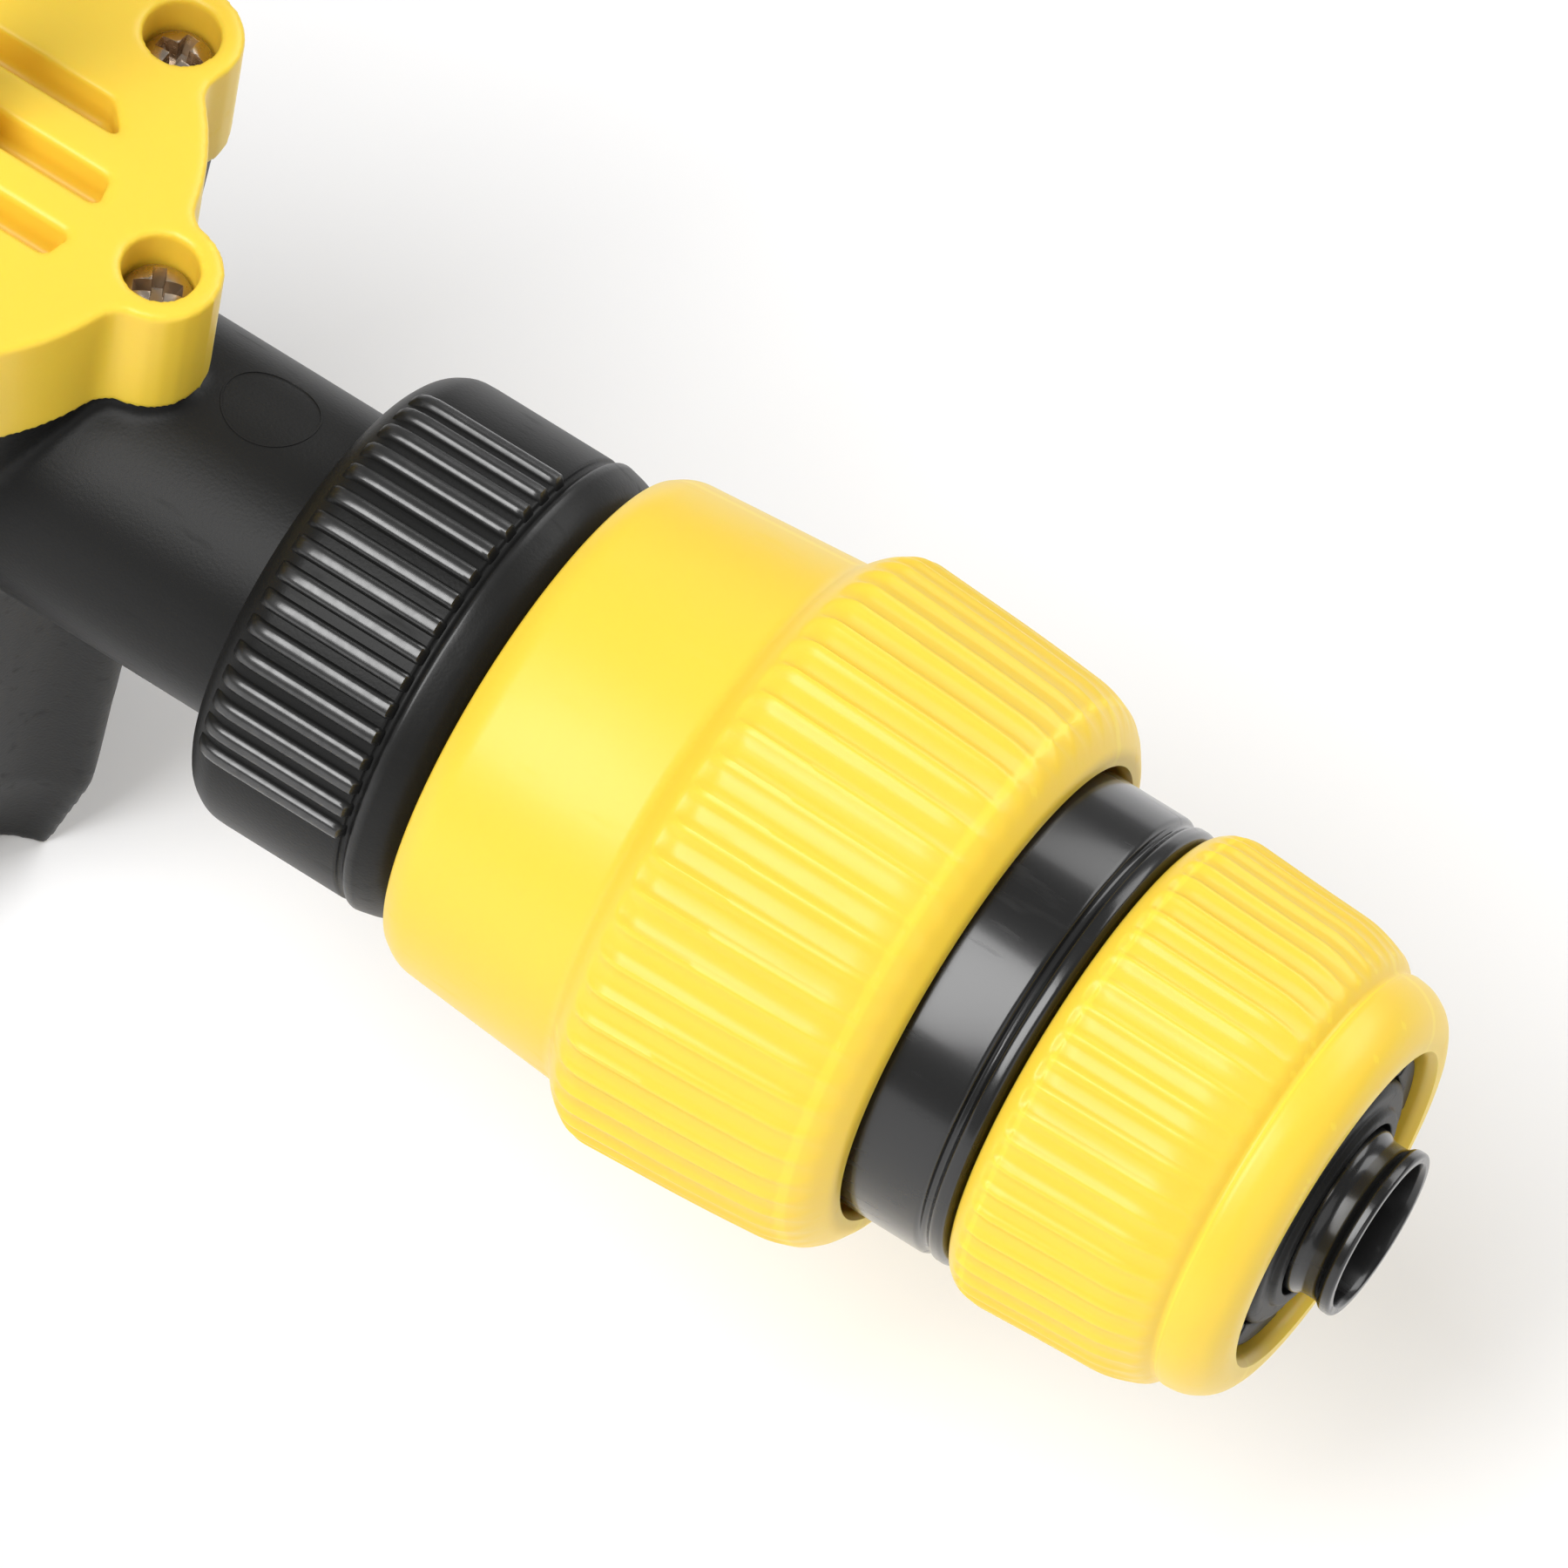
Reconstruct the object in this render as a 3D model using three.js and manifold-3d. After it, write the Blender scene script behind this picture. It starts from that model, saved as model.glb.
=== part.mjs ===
// Drill-driven hose pump head with a quick hose connector on each side.
// +Z points out of the ribbed cover, +X along the outlet connector. The origin is on the
// foot, straight under the drive shaft. All sizes are in millimetres.
import * as THREE from "three";
import { mergeVertices } from "three/addons/utils/BufferGeometryUtils.js";
import Module from "manifold-3d";

const wasm = await Module();
wasm.setup();

// Driving dimensions
const PORT_Z = 46.65; // height of the line through both connectors
const NECK_R = 11.3;
const COVER_THICK = 10.2;
const SCREW_CIRCLE_R = 18.4; // lobes and screws stand on this circle
const LOBE_COUNT = 6;
const LOBE_R = 4.1;
const PLATE_R = 18.3; // plate edge between the lobes
const LOBE_FILLET_R = 2;
const CASING_INSET = 0.8; // top of the casing behind the cover's edge
const CASING_DRAFT = 2.4; // how much further in the casing is where the foot starts
const FOOT_H = 9.5;
const FOOT_SCALE = 0.87; // outline of the foot against the outline above it
const CHAMBER_R = 14;
const CHAMBER_H = 23;
const SHAFT_R = 2.5;
const PORT_R = 6.5;
const CONNECTOR_X = 49.7; // face between tap adaptor and quick connector
const SPIGOT_R = 7.4;
const BARREL_R = 13.2; // connector body under the release sleeve
const WATERWAY_R = 4.6;
const CLAMP_THREAD_R = 12.6;
const SLEEVE_TRAVEL = 5;

// Fits
const RUNNING = 0.05; // radial clearance of the shaft in its bushes
const SLIDING = 0.1;
const LOOSE = 0.3; // between pieces that turn or screw over each other
const JOINT_LINE = 0.2; // between casing and cover

const ROUND = 24; // sides of a turned piece
const CHAMBER_ROUND = 28;
const SMALL_ROUND = 10; // sides of screws and their holes

const NECK_COVER = 0.85; // casing wall between a neck and the joint line
const casingTop = PORT_Z + NECK_R + NECK_COVER;
const coverUnder = casingTop + JOINT_LINE;
const coverTop = coverUnder + COVER_THICK;
const chamberFloor = coverUnder - CHAMBER_H;
const threadR = NECK_R + 1.9; // crest of the casing's male thread

// Materials
const plastic = (color, roughness) => new THREE.MeshStandardMaterial({ color, roughness, metalness: 0 });
const metal = (color, roughness) => new THREE.MeshStandardMaterial({ color, roughness, metalness: 1 });
const yellow = plastic(0xf6c81c, 0.32);
const black = plastic(0x2a2a29, 0.5);
const glossBlack = plastic(0x1d1d1c, 0.2);
const rubber = plastic(0x202020, 0.8);
const nickel = metal(0xa89f8c, 0.35);
const steel = metal(0x9a9c9f, 0.3);
const bronze = metal(0xa9794a, 0.4);

// Solids
function solid(geometry) {
  const bare = geometry.index ? geometry.clone() : geometry;
  bare.deleteAttribute("normal");
  bare.deleteAttribute("uv");
  const g = mergeVertices(bare, 1e-4);
  return new wasm.Manifold(
    new wasm.Mesh({
      numProp: 3,
      vertProperties: new Float32Array(g.attributes.position.array),
      triVerts: new Uint32Array(g.index.array),
    }),
  );
}

function geometryOf(manifold) {
  const mesh = manifold.getMesh();
  const g = new THREE.BufferGeometry();
  g.setAttribute("position", new THREE.BufferAttribute(mesh.vertProperties, 3));
  g.setIndex(new THREE.BufferAttribute(mesh.triVerts, 1));
  g.computeVertexNormals();
  return g;
}

// A piece turned about +Y. The profile is a list of [along, radius] pairs, out along the
// outside and back along the bore; a solid piece starts and ends on the axis.
function turned(profile, sides = ROUND) {
  const points = profile.map(([along, r]) => new THREE.Vector2(r, along));
  if (profile[0][1] > 0) points.push(points[0].clone());
  return new THREE.LatheGeometry(points, sides);
}
const turnedZ = (profile, sides) => turned(profile, sides).rotateX(Math.PI / 2);
const turnedX = (profile, sides) => turned(profile, sides).rotateZ(-Math.PI / 2).rotateX(Math.PI / 2);

function rod(radius, low, high, sides = ROUND) {
  return turnedZ([[low, 0], [low, radius], [high, radius], [high, 0]], sides);
}
function ringZ(inner, outer, low, high, sides = ROUND) {
  return turnedZ([[low, outer], [high, outer], [high, inner], [low, inner]], sides);
}
function ringX(inner, outer, low, high, sides = ROUND) {
  return turnedX([[low, outer], [high, outer], [high, inner], [low, inner]], sides);
}

// The six-lobed outline of cover and casing, drawn with arcs only.
function lobedShape(inset) {
  const shape = new THREE.Shape();
  const reach = PLATE_R + LOBE_FILLET_R;
  const gap = LOBE_R + LOBE_FILLET_R;
  const turn = Math.acos((SCREW_CIRCLE_R ** 2 + reach ** 2 - gap ** 2) / (2 * SCREW_CIRCLE_R * reach));
  const pitch = (2 * Math.PI) / LOBE_COUNT;
  for (let k = 0; k < LOBE_COUNT; k++) {
    const a = k * pitch;
    const lobe = [SCREW_CIRCLE_R * Math.cos(a), SCREW_CIRCLE_R * Math.sin(a)];
    const before = [reach * Math.cos(a - turn), reach * Math.sin(a - turn)];
    const after = [reach * Math.cos(a + turn), reach * Math.sin(a + turn)];
    const heading = (from, to) => Math.atan2(to[1] - from[1], to[0] - from[0]);
    shape.absarc(...before, LOBE_FILLET_R + inset, a - turn + Math.PI, heading(before, lobe), true);
    shape.absarc(...lobe, LOBE_R - inset, heading(lobe, before), heading(lobe, after), false);
    shape.absarc(...after, LOBE_FILLET_R + inset, heading(after, lobe), a + turn + Math.PI, true);
    shape.absarc(0, 0, PLATE_R - inset, a + turn, a + pitch - turn, false);
  }
  return shape;
}

// A solid through levels of [outline, height, scale] whose outlines match point for point.
function loft(levels) {
  const ARC_STEPS = 3;
  const distinct = (points) => points.filter((p, k) => p.distanceTo(points.at(k - 1)) > 1e-6);
  const outlines = levels.map(([shape]) => distinct(shape.getPoints(ARC_STEPS)));
  const count = outlines[0].length;
  const points = levels.flatMap(([, height, scale], level) =>
    outlines[level].flatMap((p) => [p.x * scale, p.y * scale, height]),
  );
  const top = (levels.length - 1) * count;
  const faces = [];
  for (let low = 0; low < top; low += count) {
    for (let k = 0; k < count; k++) {
      const next = (k + 1) % count;
      faces.push(low + k, low + next, low + count + next);
      faces.push(low + k, low + count + next, low + count + k);
    }
  }
  for (const [a, b, c] of THREE.ShapeUtils.triangulateShape(outlines[0], [])) {
    faces.push(top + a, top + b, top + c, a, c, b);
  }
  const g = new THREE.BufferGeometry();
  g.setAttribute("position", new THREE.Float32BufferAttribute(points, 3));
  g.setIndex(faces);
  return g;
}

function prism(shape, low, high) {
  const settings = { depth: high - low, bevelEnabled: false, curveSegments: 3 };
  return new THREE.ExtrudeGeometry(shape, settings).translate(0, 0, low);
}

function atScrews(make) {
  const holes = [];
  for (let k = 0; k < LOBE_COUNT; k++) {
    const a = (k * 2 * Math.PI) / LOBE_COUNT;
    holes.push(make().translate(SCREW_CIRCLE_R * Math.cos(a), SCREW_CIRCLE_R * Math.sin(a), 0));
  }
  return holes;
}

const cutAll = (body, cutters) => cutters.reduce((left, cutter) => left.subtract(solid(cutter)), body);
const addAll = (body, extras) => extras.reduce((sum, extra) => sum.add(solid(extra)), body);

// Screws
const HEAD_R = 2.4;
const HEAD_SUNK = 2.2;
const HEAD_H = 1.9;
const SCREW_R = 1.5;
const SCREW_DEPTH = 4.2; // thread length in the casing
const headTop = coverTop - HEAD_SUNK;
const headSeat = headTop - HEAD_H;
const screwTip = coverUnder - SCREW_DEPTH;

function screw() {
  const body = solid(
    turnedZ(
      [[screwTip, 0], [screwTip, SCREW_R], [headSeat, SCREW_R], [headSeat, HEAD_R],
        [headSeat + 0.9, HEAD_R], [headTop, HEAD_R - 0.8], [headTop, 0]],
      SMALL_ROUND,
    ),
  );
  const slotDepth = 1.1;
  const slots = [[3, 0.7], [0.7, 3]].map(([x, y]) =>
    new THREE.BoxGeometry(x, y, 2 * slotDepth).translate(0, 0, headTop),
  );
  return geometryOf(cutAll(body, slots));
}

// Gasket, seal and bushes
const GASKET_H = 1.4;
const SEAL_H = 3.4;
const TOP_BUSH_H = 2.8;
const BOTTOM_BUSH_H = 7;
const gasketIn = CHAMBER_R + 1;
const gasketOut = gasketIn + 1.2;
const sealR = SHAFT_R + 5.5;
const bushR = SHAFT_R + 2.7;
const sealTop = coverUnder + SEAL_H;
const topBushTop = sealTop + TOP_BUSH_H;
const bottomBushLow = chamberFloor - BOTTOM_BUSH_H;

// Cover
function ribbedCover() {
  const bossR = SHAFT_R + 1.7;
  const bossTop = coverTop + 2.3;
  const GROOVE_FIELD_R = 12.5;
  const GROOVE_PITCH = 5.2;
  const GROOVE_W = 2.5;
  const GROOVE_DEPTH = 2.9;
  const plate = solid(prism(lobedShape(0), coverUnder, coverTop));
  const grooves = [];
  for (let k = -2.5; k < 3; k++) {
    const y = k * GROOVE_PITCH;
    if (Math.abs(y) + GROOVE_W / 2 < GROOVE_FIELD_R) {
      const nearest = Math.abs(y) + GROOVE_W / 2;
      const length = 2 * Math.sqrt(GROOVE_FIELD_R ** 2 - nearest ** 2);
      grooves.push(
        new THREE.BoxGeometry(length, GROOVE_W, 2 * GROOVE_DEPTH).translate(0, y, coverTop),
      );
    }
  }
  const ribbed = addAll(cutAll(plate, grooves), [rod(bossR, coverUnder, bossTop)]);
  return geometryOf(
    cutAll(ribbed, [
      rod(SHAFT_R + LOOSE, coverUnder - 1, bossTop + 1),
      rod(sealR, coverUnder - 1, sealTop),
      rod(bushR + RUNNING, coverUnder - 1, topBushTop + RUNNING),
      ...atScrews(() => rod(SCREW_R + SLIDING, coverUnder - 1, coverTop, SMALL_ROUND)),
      ...atScrews(() => rod(HEAD_R + 2 * SLIDING, headSeat, coverTop + 1, SMALL_ROUND)),
    ]),
  );
}

// Casing
function pumpCasing() {
  const POCKET_R = 11;
  const POCKET_ROOF = 3; // between the pocket and the lower bush
  const threadStart = CONNECTOR_X - 15.2;
  const threadEnd = CONNECTOR_X - 5.7;
  const pocketTop = bottomBushLow - POCKET_ROOF;
  const lowShape = lobedShape(CASING_INSET + CASING_DRAFT);
  const wall = loft([[lowShape, 0, FOOT_SCALE], [lowShape, FOOT_H, 1], [lobedShape(CASING_INSET), casingTop, 1]]);
  const neck = turnedX(
    [[-threadEnd, 0], [-threadEnd, threadR], [-threadStart, threadR], [-threadStart, NECK_R],
      [threadStart, NECK_R], [threadStart, threadR], [threadEnd, threadR], [threadEnd, 0]],
  ).translate(0, 0, PORT_Z);
  const waterway = turnedX(
    [[-threadEnd - 1, 0], [-threadEnd - 1, PORT_R], [threadEnd + 1, PORT_R], [threadEnd + 1, 0]],
  ).translate(0, 0, PORT_Z);
  const walls = addAll(solid(wall), [neck]);
  return geometryOf(
    cutAll(walls, [
      waterway,
      rod(CHAMBER_R, chamberFloor, coverTop, CHAMBER_ROUND),
      rod(bushR + RUNNING, bottomBushLow - RUNNING, coverTop),
      rod(POCKET_R, -1, pocketTop, CHAMBER_ROUND),
      ringZ(gasketIn - SLIDING, gasketOut + SLIDING, coverUnder - GASKET_H, coverTop, CHAMBER_ROUND),
      ...atScrews(() => rod(SCREW_R + SLIDING, screwTip - SLIDING, coverTop, SMALL_ROUND)),
    ]),
  );
}

// Rotor
const hubLow = chamberFloor + 1.2;
const hubTop = coverUnder - 1.6;

function driveShaft() {
  const SHANK_FLATS = 6.35;
  const shankLow = coverTop + 22.8;
  const shankTop = shankLow + 20;
  const shankR = SHANK_FLATS / Math.sqrt(3);
  const round = rod(SHAFT_R, bottomBushLow, shankLow + 1);
  const shank = turnedZ(
    [[shankLow, 0], [shankLow, SHAFT_R], [shankLow + 1, shankR], [shankTop - 1, shankR],
      [shankTop, SHAFT_R], [shankTop, 0]],
    6,
  );
  return geometryOf(solid(round).add(solid(shank)));
}

function impeller() {
  const hubR = SHAFT_R + 3;
  const VANE_COUNT = 6;
  const VANE_T = 2;
  const TIP_GAP = 0.6;
  const BEAD_R = 1.3;
  const beadAt = CHAMBER_R - TIP_GAP - BEAD_R;
  const height = hubTop - hubLow;
  const vanes = [];
  for (let k = 0; k < VANE_COUNT; k++) {
    const turn = (k * 2 * Math.PI) / VANE_COUNT;
    const blade = new THREE.BoxGeometry(beadAt, VANE_T, height);
    vanes.push(blade.translate(beadAt / 2, 0, hubLow + height / 2).rotateZ(turn));
    vanes.push(rod(BEAD_R, hubLow, hubTop, SMALL_ROUND).translate(beadAt, 0, 0).rotateZ(turn));
  }
  const body = addAll(solid(rod(hubR, hubLow, hubTop)), vanes);
  return geometryOf(cutAll(body, [rod(SHAFT_R + RUNNING, hubLow - 1, hubTop + 1)]));
}

function retainingRing() {
  const body = solid(ringZ(SHAFT_R + RUNNING, SHAFT_R + 1.6, hubTop + 0.2, hubTop + 1));
  return geometryOf(cutAll(body, [new THREE.BoxGeometry(5, 2, 4).translate(4, 0, hubTop)]));
}

// Tap adaptor: union nut with a web and a spigot in one piece. Places along a hose side are
// measured from the connector's face.
const along = (offset) => CONNECTOR_X + offset;
const at = (offset, r) => [along(offset), r];
const WASHER_LEFT = along(-5.6);
const WEB_LEFT = along(-4.2);
const WEB_RIGHT = along(-0.3);
const RIDGE_LEFT = along(6.3);
const SEAL_LEFT = along(12.3);
const SEAL_RIGHT = along(14.9);
const SPIGOT_END = along(19.3);
const ridgeR = SPIGOT_R + 1.2;
const oRingIn = SPIGOT_R - 1.1;
const socketR = SPIGOT_R + 1.5;

function tapAdaptor() {
  const nutR = threadR + 3.7;
  const nut = [at(-16.5, threadR + LOOSE), at(-16.5, nutR - 2.3), at(-15.5, nutR - 0.9), at(-13, nutR),
    at(-3, nutR), at(-1, nutR - 0.65), [WEB_RIGHT, nutR - 1]];
  const spigot = [[WEB_RIGHT, SPIGOT_R], [RIDGE_LEFT, SPIGOT_R], [RIDGE_LEFT, ridgeR],
    [RIDGE_LEFT + 2, SPIGOT_R], [SEAL_LEFT, SPIGOT_R], [SEAL_LEFT, oRingIn], [SEAL_RIGHT, oRingIn],
    [SEAL_RIGHT, SPIGOT_R], [SPIGOT_END, SPIGOT_R - 0.6]];
  const bore = [[SPIGOT_END, WATERWAY_R], [WEB_LEFT, WATERWAY_R], [WEB_LEFT, threadR + LOOSE]];
  return turnedX([...nut, ...spigot, ...bore]);
}

// Quick connector
const SOCKET_LEFT = along(1.8);
const SOCKET_FLOOR = along(22.3);
const RING_LEFT = along(29.3);
const RING_RIGHT = along(42.3);
const TAIL_ROOT = along(45.3);
const CLAMP_THREAD_END = along(54.3);
const TAIL_END = along(64.8);
const ringR = BARREL_R + 3; // glossy ring, which holds the spring behind it
const clampBoreR = CLAMP_THREAD_R - 1.2;
const tailR = WATERWAY_R + 1.4;

function connectorBody() {
  return turnedX([
    [SOCKET_LEFT, socketR], [SOCKET_LEFT, BARREL_R - 0.8], [SOCKET_LEFT + 0.8, BARREL_R],
    [RING_LEFT, BARREL_R], [RING_LEFT, ringR - 0.6], [RING_LEFT + 0.6, ringR],
    [RING_RIGHT - 0.4, ringR], [RING_RIGHT, ringR - 0.4], [RING_RIGHT, CLAMP_THREAD_R],
    [CLAMP_THREAD_END, CLAMP_THREAD_R], [CLAMP_THREAD_END, clampBoreR], [TAIL_ROOT, clampBoreR],
    [TAIL_ROOT, tailR], [TAIL_END - 0.5, tailR], [TAIL_END, tailR - 0.5],
    [TAIL_END, WATERWAY_R], [SOCKET_FLOOR, WATERWAY_R], [SOCKET_FLOOR, socketR],
  ]);
}

function lockRing() {
  const body = solid(ringX(SPIGOT_R + LOOSE, socketR - RUNNING, RIDGE_LEFT - 2.6, RIDGE_LEFT - 0.4));
  return geometryOf(cutAll(body, [new THREE.BoxGeometry(6, 3, 6).translate(RIDGE_LEFT - 1.5, 0, -socketR)]));
}

// Release sleeve, with its raised collar towards the hose
const SLEEVE_LEFT = along(0.2);
const SPRING_STEP = along(20.3);

function releaseSleeve() {
  const mouth = ringR + 4 * SLIDING;
  const outside = [[0.2, 0.4], [1, 1.4], [4, 2], [11, 2.45], [14, 2.75], [16, 4.55], [18, 5.35], [26, 4.6],
    [32, 4], [34, 2.9], [35, 1.7]].map(([offset, wall]) => at(offset, mouth + wall));
  const inside = [at(35, mouth), [SPRING_STEP, mouth], [SPRING_STEP, BARREL_R + SLIDING],
    [SLEEVE_LEFT, BARREL_R + SLIDING]];
  return turnedX([...outside, ...inside]);
}

// The spring is drawn as short as it gets when the sleeve is pulled all the way back.
class Helix extends THREE.Curve {
  constructor(radius, turns, low, high) {
    super();
    Object.assign(this, { radius, turns, low, high });
  }
  getPoint(t, target = new THREE.Vector3()) {
    const a = t * this.turns * 2 * Math.PI;
    const x = THREE.MathUtils.lerp(this.low, this.high, t);
    return target.set(x, this.radius * Math.cos(a), this.radius * Math.sin(a));
  }
}

function sleeveSpring() {
  const WIRE_R = 0.45;
  const TURNS = 2.5;
  const low = SPRING_STEP + SLEEVE_TRAVEL + WIRE_R + SLIDING;
  const high = RING_LEFT - WIRE_R - SLIDING;
  const wire = new THREE.Shape();
  wire.absarc(0, 0, WIRE_R, 0, 2 * Math.PI, false);
  return new THREE.ExtrudeGeometry(wire, {
    steps: 36,
    curveSegments: 2,
    bevelEnabled: false,
    extrudePath: new Helix((BARREL_R + ringR) / 2, TURNS, low, high),
  });
}

// Grip collet with claw tips, and the clamp nut over it
const COLLET_LEFT = along(48.3);
const CLAW_TIP = along(60.5);
const DISC_FACE = along(61.1);
const colletR = clampBoreR - 0.5;

function gripCollet() {
  const CLAW_COUNT = 8;
  const NOTCH_W = 0.9;
  const NOTCH_DEPTH = 2.5;
  const clawIn = colletR - 1.8;
  const shellIn = colletR - 2.3;
  const body = solid(
    turnedX([
      [COLLET_LEFT, colletR], [CLAW_TIP, colletR], [CLAW_TIP, clawIn], [DISC_FACE, clawIn],
      [DISC_FACE, tailR + LOOSE], [DISC_FACE - 1.6, tailR + LOOSE], [DISC_FACE - 1.6, shellIn],
      [COLLET_LEFT, shellIn],
    ]),
  );
  const notches = [];
  for (let k = 0; k < CLAW_COUNT; k++) {
    const notch = new THREE.BoxGeometry(2 * NOTCH_DEPTH, NOTCH_W, 2 * (colletR - clawIn));
    notches.push(notch.translate(CLAW_TIP, 0, colletR).rotateX(((k + 0.5) * 2 * Math.PI) / CLAW_COUNT));
  }
  return geometryOf(cutAll(body, notches));
}

function clampNut() {
  const bore = CLAMP_THREAD_R + LOOSE;
  const outside = [[42.6, 3.5], [44, 4.35], [50, 4], [55, 3.8], [57, 3.1], [57.6, 2.2], [59, 2.2],
    [60.4, 1.5], [61.3, 0.3], [61.6, -0.5]].map(([offset, wall]) => at(offset, bore + wall));
  const inside = [at(61.6, colletR + LOOSE), [CLAMP_THREAD_END + 2, colletR + LOOSE],
    [CLAMP_THREAD_END + 1, bore], at(42.6, bore)];
  return turnedX([...outside, ...inside]);
}

// Assembly
function piece(name, geometry, material) {
  const mesh = new THREE.Mesh(geometry, material);
  mesh.name = name;
  return mesh;
}

const pump = new THREE.Group();
pump.add(piece("pump_casing", pumpCasing(), black));
pump.add(piece("ribbed_cover", ribbedCover(), yellow));
const gasket = ringZ(gasketIn, gasketOut, coverUnder - GASKET_H, coverUnder, CHAMBER_ROUND);
pump.add(piece("cover_gasket", gasket, rubber));
for (let k = 0; k < LOBE_COUNT; k++) {
  const a = (k * 2 * Math.PI) / LOBE_COUNT;
  const one = piece(`cover_screw_${k + 1}`, screw(), nickel);
  one.position.set(SCREW_CIRCLE_R * Math.cos(a), SCREW_CIRCLE_R * Math.sin(a), 0);
  one.rotation.z = a;
  pump.add(one);
}
const seal = ringZ(SHAFT_R + RUNNING, sealR - RUNNING, coverUnder + SLIDING, sealTop - SLIDING);
pump.add(piece("shaft_seal", seal, rubber));
pump.add(piece("top_bush", ringZ(SHAFT_R + RUNNING, bushR, sealTop, topBushTop), bronze));
const bottomBush = ringZ(SHAFT_R + RUNNING, bushR, bottomBushLow, chamberFloor);
pump.add(piece("bottom_bush", bottomBush, bronze));

const rotor = new THREE.Group();
rotor.add(piece("drive_shaft", driveShaft(), steel));
rotor.add(piece("impeller", impeller(), rubber));
const thrustWasher = ringZ(SHAFT_R + RUNNING, bushR, chamberFloor + SLIDING, hubLow - SLIDING);
rotor.add(piece("thrust_washer", thrustWasher, bronze));
rotor.add(piece("retaining_ring", retainingRing(), steel));
pump.add(rotor);

function hoseSide(side, turn) {
  const group = new THREE.Group();
  group.position.z = PORT_Z;
  group.rotation.z = turn;
  const flatWasher = ringX(PORT_R, threadR - 0.2, WASHER_LEFT, WEB_LEFT - SLIDING);
  const oRing = ringX(oRingIn + RUNNING, socketR - SLIDING, SEAL_LEFT + SLIDING, SEAL_RIGHT - SLIDING);
  group.add(piece(`${side}_flat_washer`, flatWasher, rubber));
  group.add(piece(`${side}_tap_adaptor`, tapAdaptor(), black));
  group.add(piece(`${side}_spigot_o_ring`, oRing, rubber));
  group.add(piece(`${side}_connector_body`, connectorBody(), glossBlack));
  group.add(piece(`${side}_lock_ring`, lockRing(), black));
  group.add(piece(`${side}_release_sleeve`, releaseSleeve(), yellow));
  group.add(piece(`${side}_sleeve_spring`, sleeveSpring(), steel));
  group.add(piece(`${side}_grip_collet`, gripCollet(), black));
  group.add(piece(`${side}_clamp_nut`, clampNut(), yellow));
  return group;
}
pump.add(hoseSide("outlet", 0));
pump.add(hoseSide("inlet", Math.PI));

export default pump;
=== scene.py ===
"""Builds the looks of a drill-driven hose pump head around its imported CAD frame."""
import math

import bmesh
import bpy
from mathutils import Matrix, Vector


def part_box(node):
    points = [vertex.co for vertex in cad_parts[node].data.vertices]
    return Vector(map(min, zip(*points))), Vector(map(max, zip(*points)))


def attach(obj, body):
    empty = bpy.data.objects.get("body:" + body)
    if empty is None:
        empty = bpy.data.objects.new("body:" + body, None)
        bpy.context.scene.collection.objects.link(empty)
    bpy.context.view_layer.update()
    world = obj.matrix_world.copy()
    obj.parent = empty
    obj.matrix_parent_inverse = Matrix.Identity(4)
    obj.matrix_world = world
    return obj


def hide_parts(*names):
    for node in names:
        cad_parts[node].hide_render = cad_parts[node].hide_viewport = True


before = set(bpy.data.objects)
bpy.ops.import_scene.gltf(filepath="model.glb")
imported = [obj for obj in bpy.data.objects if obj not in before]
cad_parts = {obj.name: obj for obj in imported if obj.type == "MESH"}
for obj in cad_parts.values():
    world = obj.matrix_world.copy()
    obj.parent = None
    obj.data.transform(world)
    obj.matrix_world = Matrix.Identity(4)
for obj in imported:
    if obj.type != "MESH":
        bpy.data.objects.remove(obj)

bl_info = {
    "name": "Hose pump head",
    "version": (1, 0, 0),
    "blender": (4, 5, 0),
    "location": "3D View > Sidebar > Hose pump",
    "description": "Makes the casing, cover, quick connectors and studio of a small hose pump head",
    "category": "Add Mesh",
}

MM = 0.001
SIDES = {"outlet": 0.0, "inlet": math.pi}
PORT_Z = sum(corner[2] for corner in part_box("outlet_connector_body")) / 2
COVER_LOW, COVER_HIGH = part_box("ribbed_cover")
CASING_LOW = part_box("pump_casing")[0]
SHAFT_LOW, SHAFT_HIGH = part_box("drive_shaft")
LOBES = 6
PORT_R = 6.5  # bore of a port neck, in millimetres
FLUTE_SIDES = 10  # flat sides from one grip rib to the next
WHOLE_TURN = 2 * math.pi
ALONG_X = Vector((1, 0, 0))
ALONG_Z = Vector((0, 0, 1))


# ---------------------------------------------------------------- sizes and colours


def length(name, description, default):
    return bpy.props.FloatProperty(
        name=name, description=description, default=default * MM, unit="LENGTH", precision=5, min=0.0
    )


def colour(name, description, default):
    return bpy.props.FloatVectorProperty(
        name=name, description=description, default=default, size=3, subtype="COLOR", min=0, max=1
    )


class CoverSizes(bpy.types.PropertyGroup):
    top: length("Cover top", "Height of the cover's face above the foot", 69.2)
    screw_circle: length("Screw circle", "Radius of the circle through the screws", 18.4)
    lobe: length("Lobe radius", "Radius of each rounded lobe of the cover", 4.1)
    plate: length("Plate radius", "Radius of the cover's edge between its lobes", 18.3)
    fillet: length("Lobe fillet", "Radius of the hollow where a lobe meets the plate", 2.0)
    field: length("Groove field", "Radius of the round area that holds the grooves", 12.5)
    pitch: length("Groove pitch", "Distance from groove to groove", 5.2)
    groove: length("Groove width", "Width of a groove at the cover's face", 2.5)
    depth: length("Groove depth", "Depth of a groove under the cover's face", 2.9)
    well: length("Screw well", "Radius of the hole above a screw head", 2.55)
    seat: length("Screw seat", "Height of the seat under a screw head", 65.1)


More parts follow.
